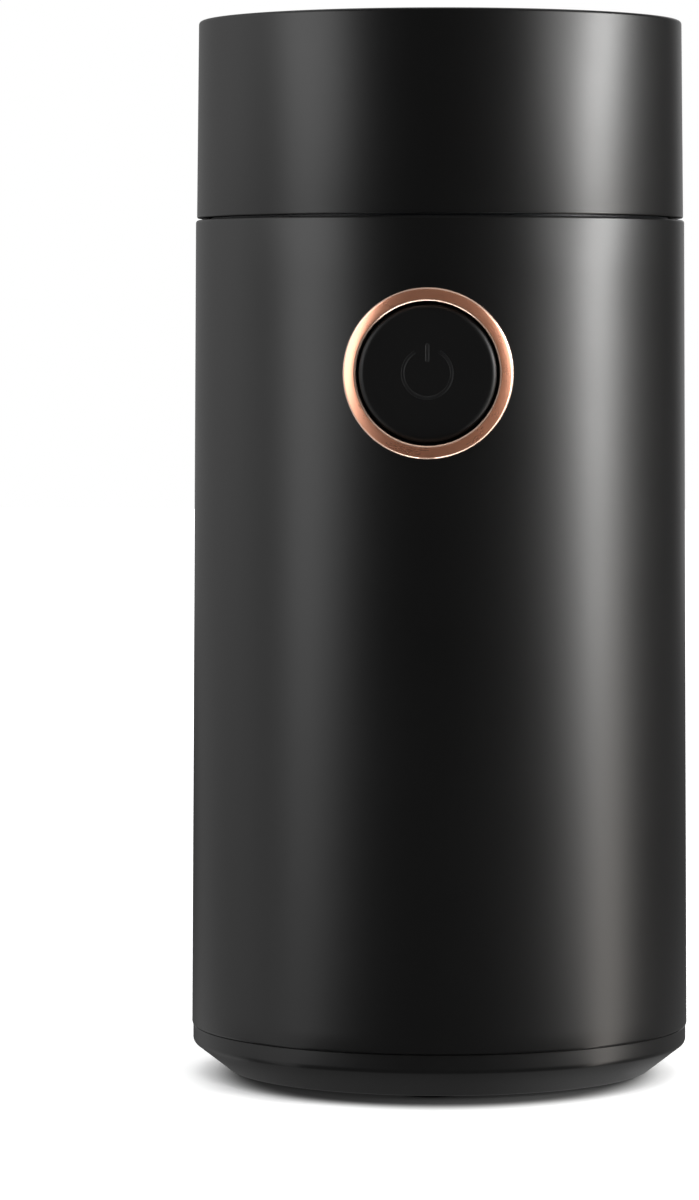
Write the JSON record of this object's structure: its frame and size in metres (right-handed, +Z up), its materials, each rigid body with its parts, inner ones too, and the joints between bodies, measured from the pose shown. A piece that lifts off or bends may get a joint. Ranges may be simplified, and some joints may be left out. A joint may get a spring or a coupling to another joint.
{
  "type": "spice grinder",
  "caption": "Cylindrical electric blade grinder for coffee beans and spices, satin black with a lift-off lid and a metal-ringed push button.",
  "frame": {"origin": "on the surface that the grinder stands on, below the middle of its body", "axes": "+Z up along the grinder's axis, -Y towards the side with the push button, +X to the right of someone who looks at the button"},
  "size_m": [0.09, 0.0901, 0.19],
  "materials": {
    "lid_black": "satin black with a fine texture",
    "body_black": "satin black with a fine texture",
    "base_black": "satin black",
    "button_black": "satin black",
    "rose_gold": "satin rose-gold plating with bright bevels",
    "smoke_plastic": "moulded smoke grey",
    "frame_plastic": "moulded dark grey",
    "fan_plastic": "moulded grey",
    "switch_plastic": "moulded black",
    "plunger_plastic": "moulded red",
    "rod_plastic": "moulded natural",
    "capacitor_film": "yellow film",
    "fibre": "red fibre",
    "carbon": "pressed carbon",
    "silicone": "grey silicone",
    "black_rubber": "matt",
    "foot_rubber": "matt",
    "lead_brown": "insulated wire",
    "lead_blue": "insulated wire",
    "bowl_steel": "spun and brushed round",
    "blade_steel": "ground",
    "steel": "turned",
    "zinc_steel": "zinc plated",
    "spring_steel": "drawn wire",
    "lamination": "stacked sheet",
    "copper": "enamelled copper wire",
    "copper_bars": "turned copper",
    "brass": "turned",
    "bronze": "sintered bronze"
  },
  "bodies": {
    "housing": {"body_shell": "body_black", "inner_frame": "frame_plastic", "grinding_bowl": "bowl_steel", "bowl_gasket": "silicone", "bowl_bush": "steel", "bush_nut": "steel", "shaft_seal": "black_rubber", "stator_core": "lamination", "field_coils": "copper", "top_bracket": "zinc_steel", "bottom_bracket": "zinc_steel", "upper_bearing": "bronze", "lower_bearing": "bronze", "bearing_clips": "zinc_steel", "tie_screws": "zinc_steel", "tie_nuts": "zinc_steel", "brush_holders": "brass", "carbon_brushes": "carbon", "brush_springs": "spring_steel", "motor_mounts": "black_rubber", "motor_screws": "zinc_steel", "button_ring": "rose_gold", "button_housing": "frame_plastic", "button_spring": "spring_steel", "main_switch": "switch_plastic", "interlock_spring": "spring_steel", "interlock_switch": "switch_plastic", "suppression_capacitor": "capacitor_film", "live_lead": "lead_brown", "neutral_lead": "lead_blue", "switch_lead": "lead_brown", "motor_lead": "lead_brown", "base_cover": "base_black", "base_screws": "zinc_steel", "feet": "foot_rubber", "cord_gland": "black_rubber"},
    "lid": {"lid_shell": "lid_black", "lid_liner": "smoke_plastic", "lid_seal": "silicone"},
    "rotor": {"blade": "blade_steel", "blade_spacer": "brass", "blade_nut": "steel", "motor_shaft": "steel", "armature_core": "lamination", "armature_windings": "copper", "commutator": "copper_bars", "cooling_fan": "fan_plastic", "thrust_washers": "fibre"},
    "button": {"button_cap": "button_black", "main_switch_plunger": "plunger_plastic"},
    "rod": {"interlock_rod": "rod_plastic", "interlock_switch_plunger": "plunger_plastic"}
  },
  "joints": [
    {"name": "lid_lift", "type": "slide", "parent": "housing", "child": "lid", "axis": [0, 0, 1], "range_m": [0, 0.06]},
    {"name": "rotor_spin", "type": "hinge", "parent": "housing", "child": "rotor", "pos_m": [0, 0, 0.051], "axis": [0, 0, 1], "continuous": true},
    {"name": "button_press", "type": "slide", "parent": "housing", "child": "button", "axis": [0, 1, 0], "range_m": [0, 0.0018], "stiffness_N_per_m": 800, "springref_m": -0.0015, "deforming": ["button_spring"]},
    {"name": "rod_rise", "type": "slide", "parent": "housing", "child": "rod", "axis": [0, 0, 1], "range_m": [0, 0.002], "deforming": ["interlock_spring"]}
  ],
  "couplings": [
    {"joint": "rod_rise", "follows": "lid_lift", "ratio": 0.033333}
  ]
}
